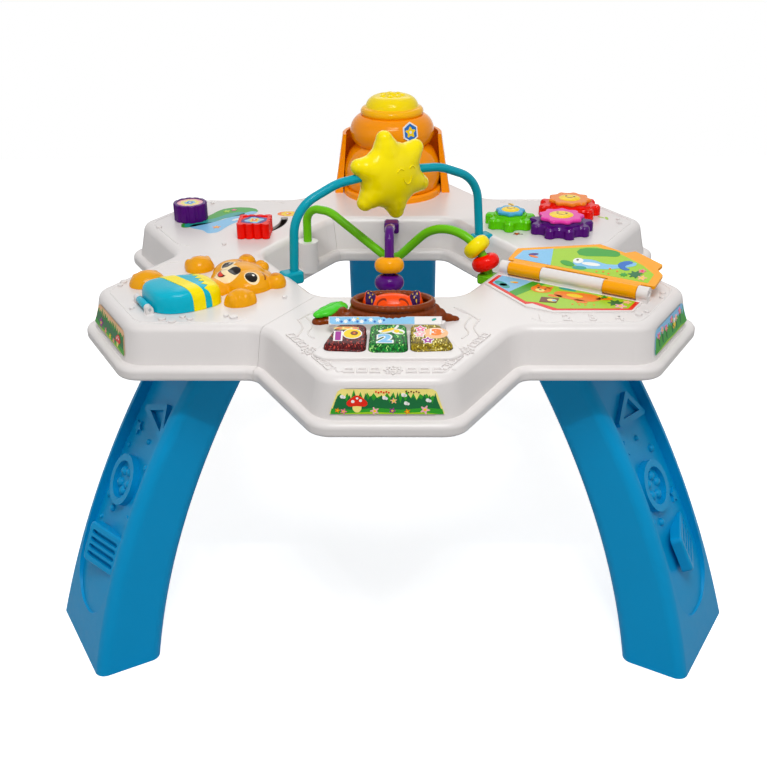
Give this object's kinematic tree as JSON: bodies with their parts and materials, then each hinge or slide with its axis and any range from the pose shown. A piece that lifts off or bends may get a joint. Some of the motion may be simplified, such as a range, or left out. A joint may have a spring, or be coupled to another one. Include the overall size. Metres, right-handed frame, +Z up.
{
  "type": "musical activity table",
  "caption": "Toddler activity table: a ring of hexagonal play stations on arched legs, with keys, buttons, gears, knobs, a spinning hive, a page, a flap and beads on tubes.",
  "frame": {"origin": "on the floor under the middle of the footprint; the upright hub axis of the ring of modules stands 31 mm in front of it, at y = -31 mm", "axes": "+Z up from the floor; -Y towards the child at the keyboard module; +X to the right as seen from there"},
  "size_m": [0.707, 0.6858, 0.4862],
  "materials": {
    "white_abs": "warm white moulded ABS",
    "cover_white": "satin moulded, underside",
    "leg_blue": "satin moulded polypropylene",
    "orange_abs": "gloss moulded",
    "yellow_abs": "gloss moulded",
    "bear_tan": "gloss moulded",
    "teal_abs": "gloss moulded",
    "green_abs": "gloss moulded",
    "purple_abs": "gloss moulded",
    "red_abs": "gloss moulded",
    "brown_abs": "gloss moulded",
    "fox_orange": "gloss moulded",
    "leaf_green": "gloss moulded",
    "key_maroon": "translucent tinted",
    "key_green": "translucent tinted",
    "key_olive": "translucent tinted",
    "flower_blue": "gloss moulded",
    "flower_pink": "gloss moulded",
    "flower_orange": "gloss moulded",
    "steel": "zinc plated",
    "board_green": "solder mask",
    "silicone": "soft silicone",
    "speaker_black": "paper cone and steel frame",
    "cell": "sleeved cell"
  },
  "bodies": {
    "table": {"arch_tube": "teal_abs", "batteries": "cell", "battery_door": "cover_white", "bear_figure": "bear_tan", "blanket_pin": "steel", "book_base": "white_abs", "book_pin": "steel", "bottom_cover_back": "cover_white", "bottom_cover_front": "cover_white", "bottom_cover_left": "cover_white", "circuit_board": "board_green", "contact_pads": "silicone", "cover_screws": "steel", "deck_back": "white_abs", "deck_front": "white_abs", "deck_left": "white_abs", "gear_axles": "white_abs", "hive_shroud": "orange_abs", "hive_spindle": "white_abs", "hive_tray": "orange_abs", "key_tray": "white_abs", "leg_back": "leg_blue", "leg_front": "leg_blue", "leg_left": "leg_blue", "leg_screws": "steel", "low_tube": "purple_abs", "slider_pivot": "steel", "speaker": "speaker_black", "star_back": "yellow_abs", "star_front": "yellow_abs", "stump_ring": "brown_abs", "wave_tube": "green_abs"},
    "key_one": {"key_one": "key_maroon"},
    "key_two": {"key_two": "key_green"},
    "key_three": {"key_three": "key_olive"},
    "fox_button": {"fox_button": "fox_orange"},
    "leaf_button": {"leaf_button": "leaf_green"},
    "bear_blanket": {"bear_blanket": "teal_abs"},
    "round_knob": {"round_knob": "purple_abs", "round_knob_clip": "steel"},
    "square_knob": {"square_knob": "red_abs", "slider_arm": "white_abs"},
    "hive_drum": {"hive_drum": "orange_abs", "hive_cap": "yellow_abs"},
    "gear_green": {"gear_green": "green_abs", "flower_green": "flower_blue"},
    "gear_purple": {"gear_purple": "purple_abs", "flower_purple": "flower_pink"},
    "gear_red": {"gear_red": "red_abs", "flower_red": "flower_orange"},
    "book_page": {"book_page": "orange_abs"},
    "bead_red": {"bead_red": "red_abs"},
    "bead_yellow": {"bead_yellow": "yellow_abs"},
    "bead_purple": {"bead_purple": "purple_abs"},
    "bead_orange": {"bead_orange": "orange_abs"}
  },
  "joints": [
    {"name": "key_one_press", "type": "slide", "parent": "table", "child": "key_one", "axis": [0, 0, -1], "range_m": [0, 0.003], "stiffness_N_per_m": 260, "springref_m": -0.0015},
    {"name": "key_two_press", "type": "slide", "parent": "table", "child": "key_two", "axis": [0, 0, -1], "range_m": [0, 0.003], "stiffness_N_per_m": 260, "springref_m": -0.0015},
    {"name": "key_three_press", "type": "slide", "parent": "table", "child": "key_three", "axis": [0, 0, -1], "range_m": [0, 0.003], "stiffness_N_per_m": 260, "springref_m": -0.0015},
    {"name": "fox_press", "type": "slide", "parent": "table", "child": "fox_button", "axis": [0, 0, -1], "range_m": [0, 0.003], "stiffness_N_per_m": 260, "springref_m": -0.0015},
    {"name": "leaf_press", "type": "slide", "parent": "table", "child": "leaf_button", "axis": [0, 0, -1], "range_m": [0, 0.003], "stiffness_N_per_m": 260, "springref_m": -0.0015},
    {"name": "blanket_lift", "type": "hinge", "parent": "table", "child": "bear_blanket", "pos_m": [-0.22749, -0.17966, 0.3644], "axis": [0.5, -0.866, 0], "range_deg": [0, 105]},
    {"name": "round_knob_turn", "type": "hinge", "parent": "table", "child": "round_knob", "pos_m": [-0.229, 0.08505, 0.37], "axis": [0, 0, 1], "continuous": true},
    {"name": "square_knob_swing", "type": "hinge", "parent": "table", "child": "square_knob", "pos_m": [-0.18114, 0.07935, 0.36], "axis": [0, 0, 1], "range_deg": [0, 64]},
    {"name": "hive_spin", "type": "hinge", "parent": "table", "child": "hive_drum", "pos_m": [0, 0.19485, 0.41], "axis": [0, 0, 1], "continuous": true},
    {"name": "gear_green_spin", "type": "hinge", "parent": "table", "child": "gear_green", "pos_m": [0.13241, 0.05967, 0.366], "axis": [0, 0, 1], "continuous": true},
    {"name": "gear_purple_spin", "type": "hinge", "parent": "table", "child": "gear_purple", "pos_m": [0.18622, 0.04014, 0.366], "axis": [0, 0, 1], "continuous": true},
    {"name": "gear_red_spin", "type": "hinge", "parent": "table", "child": "gear_red", "pos_m": [0.20357, 0.10216, 0.366], "axis": [0, 0, 1], "continuous": true},
    {"name": "page_turn", "type": "hinge", "parent": "table", "child": "book_page", "pos_m": [0.18, -0.13492, 0.3685], "axis": [0.866, -0.5, 0], "range_deg": [0, 165]},
    {"name": "bead_red_slide", "type": "hinge", "parent": "table", "child": "bead_red", "pos_m": [0.05889, -0.065, 0.3505], "axis": [-0.5, -0.866, 0], "range_deg": [0, 40]},
    {"name": "bead_yellow_slide", "type": "hinge", "parent": "bead_red", "child": "bead_yellow", "pos_m": [0.05889, -0.065, 0.3505], "axis": [-0.5, -0.866, 0], "range_deg": [0, 40]},
    {"name": "bead_purple_slide", "type": "hinge", "parent": "table", "child": "bead_purple", "pos_m": [0, -0.018, 0.352], "axis": [-1, 0, 0], "range_deg": [0, 3.2]},
    {"name": "bead_orange_slide", "type": "hinge", "parent": "bead_purple", "child": "bead_orange", "pos_m": [0, -0.018, 0.352], "axis": [-1, 0, 0], "range_deg": [0, 3.2]}
  ],
  "couplings": [
    {"joint": "gear_green_spin", "follows": "gear_purple_spin", "ratio": -1.2857},
    {"joint": "gear_red_spin", "follows": "gear_purple_spin", "ratio": -1}
  ]
}
